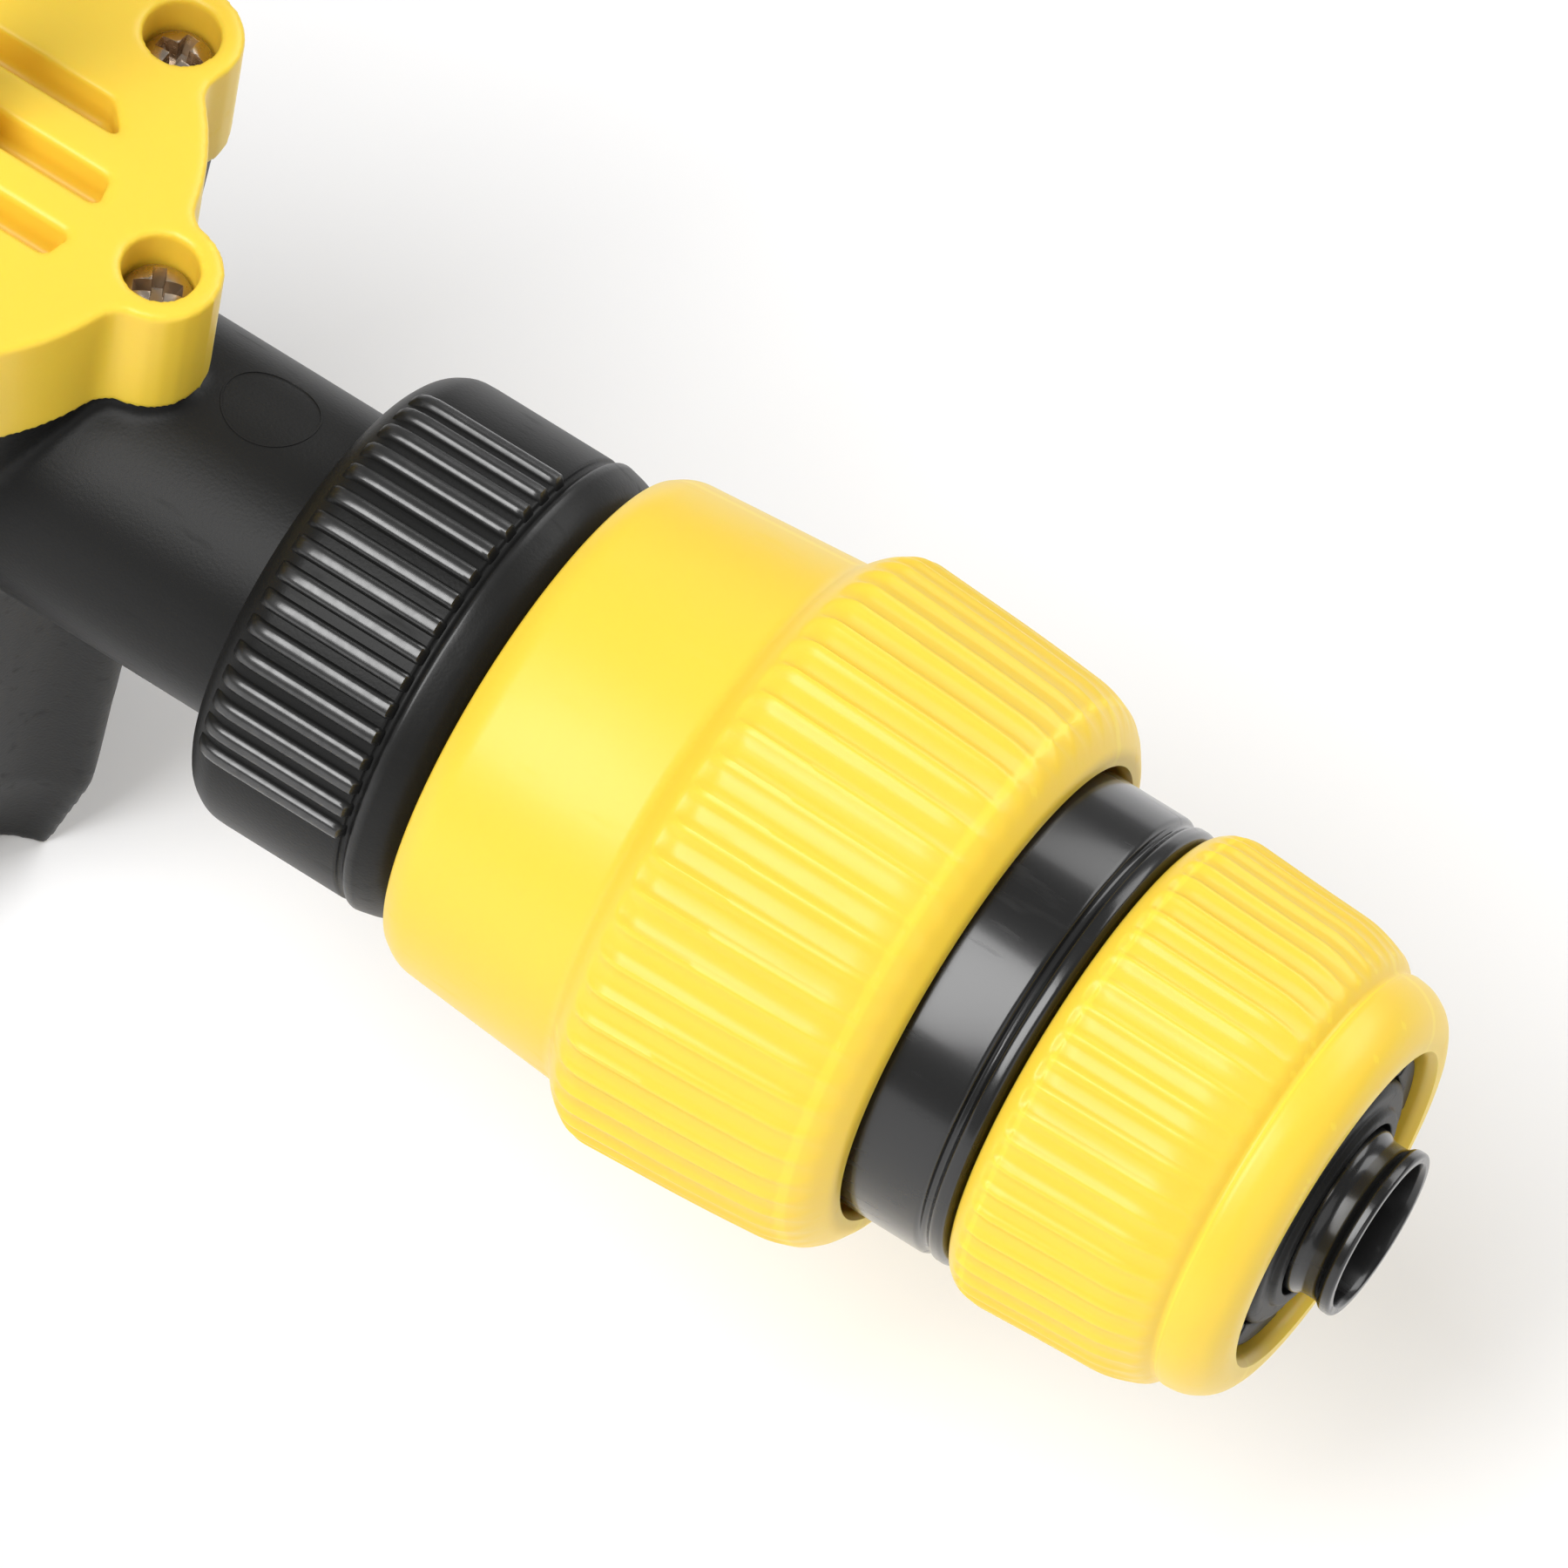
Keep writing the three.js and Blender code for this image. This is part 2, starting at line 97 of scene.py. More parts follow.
class CasingSizes(bpy.types.PropertyGroup):
    inset: length("Casing inset", "How far the casing's top stands behind the cover's edge", 0.8)
    draft: length("Casing draft", "How much further in the casing is where the foot starts", 2.4)
    foot: length("Foot height", "Height over which the casing narrows to its foot", 9.5)
    foot_share: bpy.props.FloatProperty(
        name="Foot share", description="Size of the foot's outline against the one above it", default=0.87
    )
    neck: length("Neck radius", "Outside radius of each port neck", 11.3)
    thread: length("Thread radius", "Crest radius of the male thread on a neck", 13.2)


class ConnectorSizes(bpy.types.PropertyGroup):
    face: length("Connector face", "Where the quick connector starts, from the shaft", 49.7)
    rib_count: bpy.props.IntProperty(
        name="Grip ribs", description="Ribs round the sleeve collar and clamp nut", default=54, min=12
    )
    flute: length("Flute depth", "Depth of the hollows between two grip ribs", 0.42)
    nut_ribs: bpy.props.IntProperty(
        name="Nut ribs", description="Ribs in each group on the union nut", default=16, min=4
    )
    nut_step: bpy.props.FloatProperty(
        name="Nut rib step",
        description="Angle from rib to rib on the union nut",
        default=math.radians(7),
        subtype="ANGLE",
    )
    nut_turn: bpy.props.FloatProperty(
        name="Nut rib turn",
        description="Angle of the first rib group from straight up",
        default=math.radians(30),
        subtype="ANGLE",
    )
    sleeve_turn: bpy.props.FloatProperty(
        name="Sleeve rib turn",
        description="Angle of the sleeve's first rib from straight up",
        default=math.radians(4.45),
        subtype="ANGLE",
    )
    clamp_turn: bpy.props.FloatProperty(
        name="Clamp rib turn",
        description="Angle of the clamp nut's first rib from straight up",
        default=math.radians(5.85),
        subtype="ANGLE",
    )
    claws: bpy.props.IntProperty(
        name="Claws", description="Grip claws round the hose tail", default=8, min=3
    )


class FinishColours(bpy.types.PropertyGroup):
    yellow: colour("Yellow", "Moulded yellow plastic", (0.88, 0.61, 0.055))
    black: colour("Black", "Moulded black plastic", (0.0105, 0.0105, 0.0102))
    gloss_black: colour("Gloss black", "Polished black plastic", (0.0075, 0.0075, 0.0075))
    rubber: colour("Rubber", "Seals and vanes", (0.012, 0.012, 0.012))
    nickel: colour("Nickel", "Plated screws", (0.50, 0.42, 0.34))
    steel: colour("Steel", "Shaft and springs", (0.55, 0.55, 0.56))
    bronze: colour("Bronze", "Bushes", (0.45, 0.26, 0.12))


class StudioSizes(bpy.types.PropertyGroup):
    distance: length("Camera distance", "From the camera to its target", 1117)
    focal: bpy.props.FloatProperty(
        name="Lens", description="Focal length on a 36 mm sensor, in millimetres", default=400
    )
    floor: colour("Floor", "Pale studio floor", (0.94, 0.94, 0.95))


def settings():
    return bpy.context.scene.hose_pump


# ---------------------------------------------------------------- shader maths


class Socket:
    """A shader output that takes part in Python arithmetic."""

    def __init__(self, graph, output):
        self.graph = graph
        self.output = output

    def _math(self, operation, first, second):
        return self.graph.node("ShaderNodeMath", {"operation": operation}, {0: first, 1: second})

    def __add__(self, other):
        return self._math("ADD", self, other)

    def __sub__(self, other):
        return self._math("SUBTRACT", self, other)

    def __rsub__(self, other):
        return self._math("SUBTRACT", other, self)

    def squared(self):
        return self._math("MULTIPLY", self, self)

    def __mul__(self, other):
        return self._math("MULTIPLY", self, other)

    __radd__ = __add__
    __rmul__ = __mul__


class Graph:
    """One material's node tree."""

    def __init__(self, name):
        self.material = bpy.data.materials.new(name)
        self.material.use_nodes = True
        self.tree = self.material.node_tree
        self.tree.nodes.clear()

    def node(self, kind, choices=None, sockets=None, out=0):
        made = self.tree.nodes.new(kind)
        for key, value in (choices or {}).items():
            setattr(made, key, value)
        for key, value in (sockets or {}).items():
            if isinstance(value, Socket):
                self.tree.links.new(value.output, made.inputs[key])
            else:
                made.inputs[key].default_value = value
        return Socket(self, made.outputs[out]) if made.outputs else None

    def place(self):
        return self.node("ShaderNodeTexCoord", out="Object")

    def noise(self, scale, detail=3.0, stretch=None):
        place = self.place()
        if stretch:
            place = self.node("ShaderNodeMapping", {}, {"Vector": place, "Scale": stretch})
        return self.node(
            "ShaderNodeTexNoise", {}, {"Vector": place, "Scale": scale, "Detail": detail}, out="Fac"
        )

    def off_axis(self):
        """The squared distance from the hose axis."""
        place = self.place()
        across, height = (
            self.node("ShaderNodeSeparateXYZ", {}, {"Vector": place}, out=axis) for axis in "YZ"
        )
        return across.squared() + (height - PORT_Z).squared()

    def ramp(self, value, low, high):
        return self.node("ShaderNodeMapRange", {}, {0: value, 1: low, 2: high, 3: 0.0, 4: 1.0})

    def mix(self, factor, first, second):
        # The colour sockets of a Mix node are its sixth and seventh inputs.
        return self.node("ShaderNodeMix", {"data_type": "RGBA"}, {0: factor, 6: first, 7: second}, out=2)

    def bump(self, height, strength, distance):
        return self.node(
            "ShaderNodeBump", {}, {"Height": height, "Strength": strength, "Distance": distance}
        )

    def edge_wear(self, radius):
        """Rises from 0 on flat faces towards 1 on sharp outer edges."""
        edge = self.node("ShaderNodeNewGeometry", out="Pointiness")
        return self.ramp(edge, 0.52, 0.52 + radius)

    def finish(self, **inputs):
        shader = self.node("ShaderNodeBsdfPrincipled", {}, inputs)
        self.node("ShaderNodeOutputMaterial", {}, {"Surface": shader})
        return self.material


def shade(tone, factor):
    return (*(min(1.0, part * factor) for part in tone), 1)


def moulded_plastic(
    name, tone, roughness, grain, coat=0.0, mirror=0.5, sheen_spread=0.06, milky=0.0, polished=None
):
    """Injection-moulded plastic: faint flow marks, scuffs, fine skin grain, paler rubbed edges.

    What lies further off the hose axis than the radius polished is rubbed bright by hands."""
    g = Graph(name)
    if polished:
        rubbed = g.ramp(g.off_axis(), (polished - 0.25 * MM) ** 2, polished**2)
        coat = rubbed * (0.45 + g.noise(1500, 3) * 0.6)
    flow = g.noise(60, 2, stretch=(0.35, 1, 1))
    scuffs = g.ramp(g.noise(900, 4, stretch=(0.2, 1, 1)), 0.60, 0.75)
    skin = g.noise(4200, 2)
    body = g.mix(flow, shade(tone, 0.93), shade(tone, 1.05))
    worn = g.mix(g.edge_wear(0.1) * 0.25, body, shade(tone, 1.35))
    rough = roughness + (flow - 0.5) * sheen_spread + scuffs * 0.12
    return g.finish(
        **{
            "Base Color": worn,
            "Roughness": rough,
            "Specular IOR Level": mirror,
            "Coat Weight": coat,
            "Coat Roughness": 0.26 if polished else 0.12,
            "Coat IOR": 1.75 if polished else 1.5,
            "Subsurface Weight": milky,
            "Subsurface Radius": (1.0, 0.55, 0.15),
            "Subsurface Scale": 0.0015,
            "Normal": g.bump(skin + flow * 0.4, grain, 0.00004),
        }
    )


def turned_metal(name, tone, roughness, turning=(0.15, 0.15, 1)):
    """Machined metal: fine lines round the axis, small stains and brighter rubbed edges."""
    g = Graph(name)
    lines = g.noise(9000, 2, stretch=turning)
    stains = g.ramp(g.noise(350, 4), 0.45, 0.8)
    body = g.mix(stains, shade(tone, 1.0), shade(tone, 0.62))
    worn = g.mix(g.edge_wear(0.1) * 0.5, body, shade(tone, 1.3))
    return g.finish(
        **{
            "Base Color": worn,
            "Metallic": 1.0 - stains * 0.15,
            "Roughness": roughness + stains * 0.25 + lines * 0.08,
            "Normal": g.bump(lines, 0.25, 0.00003),
        }
    )


def soft_rubber(name, tone):
    """Moulded rubber: matt, with a dusty bloom in patches."""
    g = Graph(name)
    bloom = g.ramp(g.noise(260, 4), 0.45, 0.85)
    skin = g.noise(3500, 3)
    return g.finish(
        **{
            "Base Color": g.mix(bloom, shade(tone, 1.0), shade(tone, 2.6)),
            "Roughness": 0.62 + bloom * 0.25,
            "Normal": g.bump(skin, 0.4, 0.00005),
        }
    )


def finishes():
    """Makes each finish once and gives them by name."""
    tones = settings().colours
    makers = {
        "yellow plastic": lambda: moulded_plastic(
            "yellow plastic", tones.yellow, 0.38, 0.10, coat=0.04, mirror=0.38, milky=0.25
        ),
        "black plastic": lambda: moulded_plastic("black plastic", tones.black, 0.42, 0.35, mirror=0.18),
        "handled black plastic": lambda: moulded_plastic(
            "handled black plastic", tones.black, 0.42, 0.35, mirror=0.18, polished=16.85 * MM
        ),
        "gloss black plastic": lambda: moulded_plastic(
            "gloss black plastic", tones.gloss_black, 0.24, 0.05, coat=0.3, mirror=0.45, sheen_spread=0.04
        ),
        "rubber": lambda: soft_rubber("rubber", tones.rubber),
        "nickel": lambda: turned_metal("nickel", tones.nickel, 0.22),
        "shaft steel": lambda: turned_metal("shaft steel", tones.steel, 0.26),
        "spring steel": lambda: turned_metal("spring steel", tones.steel, 0.3, (1, 0.2, 0.2)),
        "bronze": lambda: turned_metal("bronze", tones.bronze, 0.38),
    }
    return {name: bpy.data.materials.get(name) or make() for name, make in makers.items()}


# ---------------------------------------------------------------- mesh helpers


def mesh_from(name, verts, faces):
    mesh = bpy.data.meshes.new(name)
    mesh.from_pydata([tuple(v) for v in verts], [], faces)
    mesh.update()
    return mesh


def rounded(corners, steps=5):
    """A polyline in (along, radius) millimetres with its corners rounded.

    Each corner is (along, radius) or (along, radius, rounding)."""
    points = []
    for i, corner in enumerate(corners):
        here = Vector(corner[:2])
        rounding = corner[2] if len(corner) > 2 else 0
        if not rounding or i in (0, len(corners) - 1):
            points.append(here)
            continue
        before = Vector(corners[i - 1][:2]) - here
        after = Vector(corners[i + 1][:2]) - here
        reach = min(rounding, before.length * 0.5, after.length * 0.5)
        start = here + before.normalized() * reach
        stop = here + after.normalized() * reach
        for k in range(steps + 1):
            t = k / steps
            points.append((1 - t) ** 2 * start + 2 * t * (1 - t) * here + t * t * stop)
    return points


def turned(name, profile, sides=144, closed=True):
    """A mesh turned about X. The profile is in millimetres and runs out along the outside and
    back along the bore; a solid piece starts and ends on the axis."""
    points = [Vector(p) * MM for p in profile]
    bm = bmesh.new()
    rings = []
    for x, r in points:
        if r < 1e-7:
            rings.append([bm.verts.new((x, 0, 0))] * sides)
            continue
        ring = []
        for k in range(sides):
            a = WHOLE_TURN * k / sides
            ring.append(bm.verts.new((x, -r * math.sin(a), r * math.cos(a))))
        rings.append(ring)
    pairs = list(zip(rings, rings[1:]))
    if closed and rings[0][0] is not rings[0][1]:
        pairs.append((rings[-1], rings[0]))
    for low, high in pairs:
        for k in range(sides):
            j = (k + 1) % sides
            corners = []
            for vert in (low[k], low[j], high[j], high[k]):
                if vert not in corners:
                    corners.append(vert)
            if len(corners) > 2:
                bm.faces.new(corners)
    bmesh.ops.recalc_face_normals(bm, faces=bm.faces)
    mesh = bpy.data.meshes.new(name)
    bm.to_mesh(mesh)
    bm.free()
    return mesh


def outward(mesh):
    """Points every face of a closed mesh outwards."""
    bm = bmesh.new()
    bm.from_mesh(mesh)
    bmesh.ops.recalc_face_normals(bm, faces=bm.faces)
    bm.to_mesh(mesh)
    bm.free()


def object_of(name, mesh):
    made = bpy.data.objects.new(name, mesh)
    bpy.context.scene.collection.objects.link(made)
    return made


def drop(*objects):
    for thing in objects:
        bpy.data.objects.remove(thing, do_unlink=True)


def settled(thing):
    """Turns an object with modifiers into a plain mesh object of the same name."""
    name = thing.name
    evaluated = thing.evaluated_get(bpy.context.evaluated_depsgraph_get())
    mesh = bpy.data.meshes.new_from_object(evaluated)
    drop(thing)
    mesh.name = name
    return object_of(name, mesh)


def boolean(body, operation, tool):
    modifier = body.modifiers.new(operation.lower(), "BOOLEAN")
    modifier.operation = operation
    modifier.object = tool
    modifier.solver = "EXACT"
    made = settled(body)
    drop(tool)
    return made


def bevelled(body, width, angle=35, segments=3):
    modifier = body.modifiers.new("edges", "BEVEL")
    modifier.width = width * MM
    modifier.segments = segments
    modifier.limit_method = "ANGLE"
    modifier.angle_limit = math.radians(angle)
    modifier.use_clamp_overlap = True
    return settled(body)


def lofted(name, levels):
    """A solid through levels of (outline, height) that match point for point, in millimetres."""
    count = len(levels[0][0])
    verts = [Vector((x, y, height)) * MM for outline, height in levels for x, y in outline]
    top = (len(levels) - 1) * count
    faces = [tuple(reversed(range(count))), tuple(range(top, top + count))]
    for low in range(0, top, count):
        for k in range(count):
            j = (k + 1) % count
            faces.append((low + k, low + j, low + count + j, low + count + k))
    return object_of(name, mesh_from(name, verts, faces))


def scaled(outline, share):
    return [(x * share, y * share) for x, y in outline]


def prism(name, outline, low, high, top_share=1.0):
    """A straight or tapering solid over a flat outline, all in millimetres."""
    return lofted(name, [(outline, low), (scaled(outline, top_share), high)])


def skinned(body, voxel, passes):
    """Gives a solid a fine voxel skin, which rounds every edge and inner corner alike."""
    skin = body.modifiers.new("skin", "REMESH")
    skin.mode = "VOXEL"
    skin.voxel_size = voxel * MM
    soften = body.modifiers.new("soften", "SMOOTH")
    soften.factor = 0.5
    soften.iterations = passes
    return settled(body)


def upright(mesh):
    """Turns a mesh made about X so that it stands along Z."""
    mesh.transform(Matrix.Rotation(-math.pi / 2, 4, "Y"))
    return mesh


def placed(mesh, side):
    """Moves a mesh made about the X axis to one of the two hose sides."""
    mesh.transform(Matrix.Translation((0, 0, PORT_Z)) @ Matrix.Rotation(SIDES[side], 4, "Z"))
    return mesh


def smooth(thing, angle=38):
    thing.data.shade_smooth()
    thing.data.set_sharp_from_angle(angle=math.radians(angle))


def fit(thing, finish, body, slot, *nodes, angle=38):
    """Gives a finished piece its finish, its body and the nodes that it stands for."""
    thing.data.materials.clear()
    thing.data.materials.append(finishes()[finish])
    smooth(thing, angle)
    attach(thing, body)
    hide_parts(*nodes)


# ---------------------------------------------------------------- repeated shapes


def around_tree():
    """A Geometry Nodes tree that joins a body with copies of one shape, turned step by step
    round an axis through the origin."""
    name = "copies round an axis"
    if name in bpy.data.node_groups:
        return bpy.data.node_groups[name]
    tree = bpy.data.node_groups.new(name, "GeometryNodeTree")
    face = tree.interface
    face.new_socket("Body", in_out="INPUT", socket_type="NodeSocketGeometry")
    for label, kind in (
        ("Shape", "NodeSocketObject"),
        ("Count", "NodeSocketInt"),
        ("First angle", "NodeSocketFloat"),
        ("Step angle", "NodeSocketFloat"),
        ("Axis", "NodeSocketVector"),
        ("Finish", "NodeSocketMaterial"),
    ):
        face.new_socket(label, in_out="INPUT", socket_type=kind)
    face.new_socket("Geometry", in_out="OUTPUT", socket_type="NodeSocketGeometry")
    made = {
        label: tree.nodes.new(kind)
        for label, kind in (
            ("in", "NodeGroupInput"),
            ("out", "NodeGroupOutput"),
            ("points", "GeometryNodeMeshLine"),
            ("shape", "GeometryNodeObjectInfo"),
            ("index", "GeometryNodeInputIndex"),
            ("angle", "ShaderNodeMath"),
            ("turn", "FunctionNodeAxisAngleToRotation"),
            ("copies", "GeometryNodeInstanceOnPoints"),
            ("real", "GeometryNodeRealizeInstances"),
            ("join", "GeometryNodeJoinGeometry"),
            ("finish", "GeometryNodeSetMaterial"),
        )
    }
    made["angle"].operation = "MULTIPLY_ADD"
    made["points"].inputs["Offset"].default_value = (0, 0, 0)
    made["shape"].transform_space = "ORIGINAL"
    for start, out, stop, into in (
        ("in", "Count", "points", "Count"),
        ("in", "Shape", "shape", "Object"),
        ("index", "Index", "angle", 0),
        ("in", "Step angle", "angle", 1),
        ("in", "First angle", "angle", 2),
        ("in", "Axis", "turn", "Axis"),
        ("angle", 0, "turn", "Angle"),
        ("points", "Mesh", "copies", "Points"),
        ("shape", "Geometry", "copies", "Instance"),
        ("turn", "Rotation", "copies", "Rotation"),
        ("copies", "Instances", "real", "Geometry"),
        ("real", "Geometry", "join", "Geometry"),
        ("in", "Body", "join", "Geometry"),
        ("join", "Geometry", "finish", "Geometry"),
        ("in", "Finish", "finish", "Material"),
        ("finish", "Geometry", "out", "Geometry"),
    ):
        tree.links.new(made[start].outputs[out], made[stop].inputs[into])
    return tree


def with_copies(body, shape, count, first, step, axis, finish):
    """Joins a body with turned copies of a shape, as one plain mesh."""
    tree = around_tree()
    modifier = body.modifiers.new("copies", "NODES")
    modifier.node_group = tree
    values = {
        "Shape": shape,
        "Count": count,
        "First angle": first,
        "Step angle": step,
        "Axis": tuple(axis),
        "Finish": finishes()[finish],
    }
    for item in tree.interface.items_tree:
        if item.in_out == "INPUT" and item.name in values:
            modifier[item.identifier] = values[item.name]
    made = settled(body)
    drop(shape)
    return made


def radius_at(profile, x):
    """The outside radius of a turned profile at x, from its first crossing."""
    for (x0, r0), (x1, r1) in zip(profile, profile[1:]):
        if x0 <= x <= x1 and x1 > x0:
            return r0 + (r1 - r0) * (x - x0) / (x1 - x0)
    raise ValueError(f"the profile doesn't reach {x}")


def grip_rib(profile, start, stop, width, height, flat, fade):
    """A raised rib along a turned profile at straight up, sunk a little into the surface.

    flat is the share of its width that is level; the ends round off over fade."""
    steps, across = 16, 8
    sunk, floor = 0.12, 0.5
    rows = []
    for i in range(steps + 1):
        # Closer rows at both ends, where the rib rounds off.
        t = 0.5 - 0.5 * math.cos(math.pi * i / steps)
        x = start + (stop - start) * t
        from_end = min(x - start, stop - x)
        rise = math.sqrt(max(0.0, 1 - (1 - min(1, from_end / fade)) ** 2))
        base = radius_at(profile, x)
        row = []
        for j in range(across + 1):
            u = -1 + 2 * j / across
            edge = max(0.0, (abs(u) - flat) / (1 - flat))
            lift = height * math.sqrt(max(0.0, 1 - edge * edge))
            half = width / 2 * (0.75 + 0.25 * rise)
            row.append(Vector((x, -u * half, base - sunk + (lift + sunk) * rise)))
        row.append(Vector((x, -width / 2, base - floor)))
        row.append(Vector((x, width / 2, base - floor)))
        rows.append(row)
    verts = [v * MM for row in rows for v in row]
    n = across + 3
    faces = []
    for i in range(steps):
        for j in range(n):
            k = (j + 1) % n
            faces.append((i * n + j, (i + 1) * n + j, (i + 1) * n + k, i * n + k))
    faces.append(tuple(range(n)))
    faces.append(tuple(steps * n + j for j in reversed(range(n))))
    mesh = mesh_from("rib", verts, faces)
    outward(mesh)
    return object_of("rib", mesh)


def with_steps(profile, start, stop, step):
    """Adds points to a turned profile so that none between start and stop is far apart."""
    points = [profile[0]]
    for before, after in zip(profile, profile[1:]):
        if after[0] > before[0] and before[0] < stop and after[0] > start:
            pieces = max(1, math.ceil((after[0] - before[0]) / step))
            points += [before.lerp(after, k / pieces) for k in range(1, pieces)]
        points.append(after)
    return points


def fluted(mesh, count, first, start, stop, depth, inner):
    """Sinks hollows into a turned mesh between thin ribs, deepest near start and fading to stop.

    Only what lies outside the radius inner is moved."""
    rib_share, rise, run_out, fading = 0.14, 0.06, 0.22, 0.45
    for vert in mesh.vertices:
        x, y, z = (part / MM for part in vert.co)
        radius = math.hypot(y, z)
        if not start < x < stop or radius < inner:
            continue
        along = (x - start) / (stop - start)
        attack = min(1.0, along / rise)
        release = min(1.0, (1 - along) / run_out)
        here = depth * math.sin(attack * math.pi / 2) * (1 - fading * along) * release * (2 - release)
        turn = (math.atan2(-y, z) - first) / WHOLE_TURN * count
        from_middle = abs(2 * ((turn + 0.5) % 1.0) - 1)
        reach = (1 - rib_share) * math.sqrt(min(1.0, here / (0.4 * depth)))
        drop = here * max(0.0, 1 - (from_middle / reach) ** 3) if reach > 0.05 else 0.0
        vert.co.y *= 1 - drop / radius
        vert.co.z *= 1 - drop / radius


# ---------------------------------------------------------------- casing and cover


def lobed_outline(sizes, inset, steps=10):
    """The six-lobed outline of cover and casing as points, in millimetres."""
    circle, lobe, plate, fillet = (
        value / MM for value in (sizes.screw_circle, sizes.lobe, sizes.plate, sizes.fillet)
    )
    reach, gap = plate + fillet, lobe + fillet
    turn = math.acos((circle**2 + reach**2 - gap**2) / (2 * circle * reach))
    outline = []

    def arc(centre, radius, start, stop):
        for k in range(steps):
            a = start + (stop - start) * k / steps
            outline.append((centre[0] + radius * math.cos(a), centre[1] + radius * math.sin(a)))

    for k in range(LOBES):
        a = WHOLE_TURN * k / LOBES
        hub = Vector((circle * math.cos(a), circle * math.sin(a)))
        before = Vector((reach * math.cos(a - turn), reach * math.sin(a - turn)))
        after = Vector((reach * math.cos(a + turn), reach * math.sin(a + turn)))
        to_before = (before - hub).angle_signed(Vector((math.cos(a), math.sin(a))))
        lobe_from, lobe_to = a - abs(to_before), a + abs(to_before)
        arc(before, fillet + inset, a - turn + math.pi, lobe_from + math.pi)
        arc(hub, lobe - inset, lobe_from, lobe_to)
        arc(after, fillet + inset, lobe_to - math.pi, a + turn - math.pi)
        arc((0, 0), plate - inset, a + turn, a + WHOLE_TURN / LOBES - turn)
    return outline


def rod(name, radius, low, high, x=0.0, y=0.0, sides=64):
    mesh = upright(turned(name, [(low, 0), (low, radius), (high, radius), (high, 0)], sides))
    mesh.transform(Matrix.Translation((x * MM, y * MM, 0)))
    return object_of(name, mesh)


def cross_rod(name, radius, reach):
    """A rod along the hose axis that reaches as far to both sides of the shaft."""
    mesh = turned(name, [(-reach, 0), (-reach, radius), (reach, radius), (reach, 0)], 96)
    mesh.transform(Matrix.Translation((0, 0, PORT_Z)))
    return object_of(name, mesh)


def joined(things):
    """Joins plain mesh objects into the first."""
    first = things[0]
    bm = bmesh.new()
    for thing in things:
        bm.from_mesh(thing.data)
    bm.to_mesh(first.data)
    bm.free()
    drop(*things[1:])
    return first


class MakeCover(bpy.types.Operator):
    """Makes the yellow cover with its grooves, screw wells and shaft boss"""

    bl_idname = "hose_pump.cover"
    bl_label = "Cover"

    def execute(self, context):
        sizes = settings().cover
        top = sizes.top / MM
        low = COVER_LOW[2] / MM
        plate = prism("ribbed_cover_visual", lobed_outline(sizes, 0), low, top)
        field, pitch = sizes.field / MM, sizes.pitch / MM
        half, depth = sizes.groove / MM / 2, sizes.depth / MM
        narrower = 0.75  # width of a groove's floor against its mouth
        bars = []
        for k in range(-3, 3):
            y = (k + 0.5) * pitch
            if abs(y) + half < field:
                # Both ends of a groove follow the round edge of the groove field.
                low_rim, high_rim = (math.asin(edge / field) for edge in (y - half, y + half))
                right = [low_rim + (high_rim - low_rim) * i / 6 for i in range(7)]
                outline = [(field * math.cos(a), field * math.sin(a)) for a in right]
                outline += [(-x, v) for x, v in reversed(outline)]
                bars.append(prism(f"groove_{k}", outline, top - depth, top + 1))
                for vert in bars[-1].data.vertices:
                    if vert.co.z < top * MM:
                        vert.co.y = y * MM + (vert.co.y - y * MM) * narrower
        circle = sizes.screw_circle / MM
        wells = []
        for k in range(LOBES):
            a = WHOLE_TURN * k / LOBES
            x, y = circle * math.cos(a), circle * math.sin(a)
            wells.append(rod("well", sizes.well / MM, sizes.seat / MM, top + 1, x, y, 48))
        cover = boolean(plate, "DIFFERENCE", joined(bars))
        cover = boolean(cover, "DIFFERENCE", joined(wells))
        boss_top, boss_r, bore_r = COVER_HIGH[2] / MM, 4.2, 2.8
        cover = boolean(cover, "UNION", rod("boss", boss_r, low + 5, boss_top))
        cover = boolean(cover, "DIFFERENCE", rod("bore", bore_r, low - 1, boss_top + 1))
        cover = skinned(cover, 0.3, 4)
        fit(cover, "yellow plastic", "casing", "yellow_plastic", "ribbed_cover", angle=60)
        return {"FINISHED"}


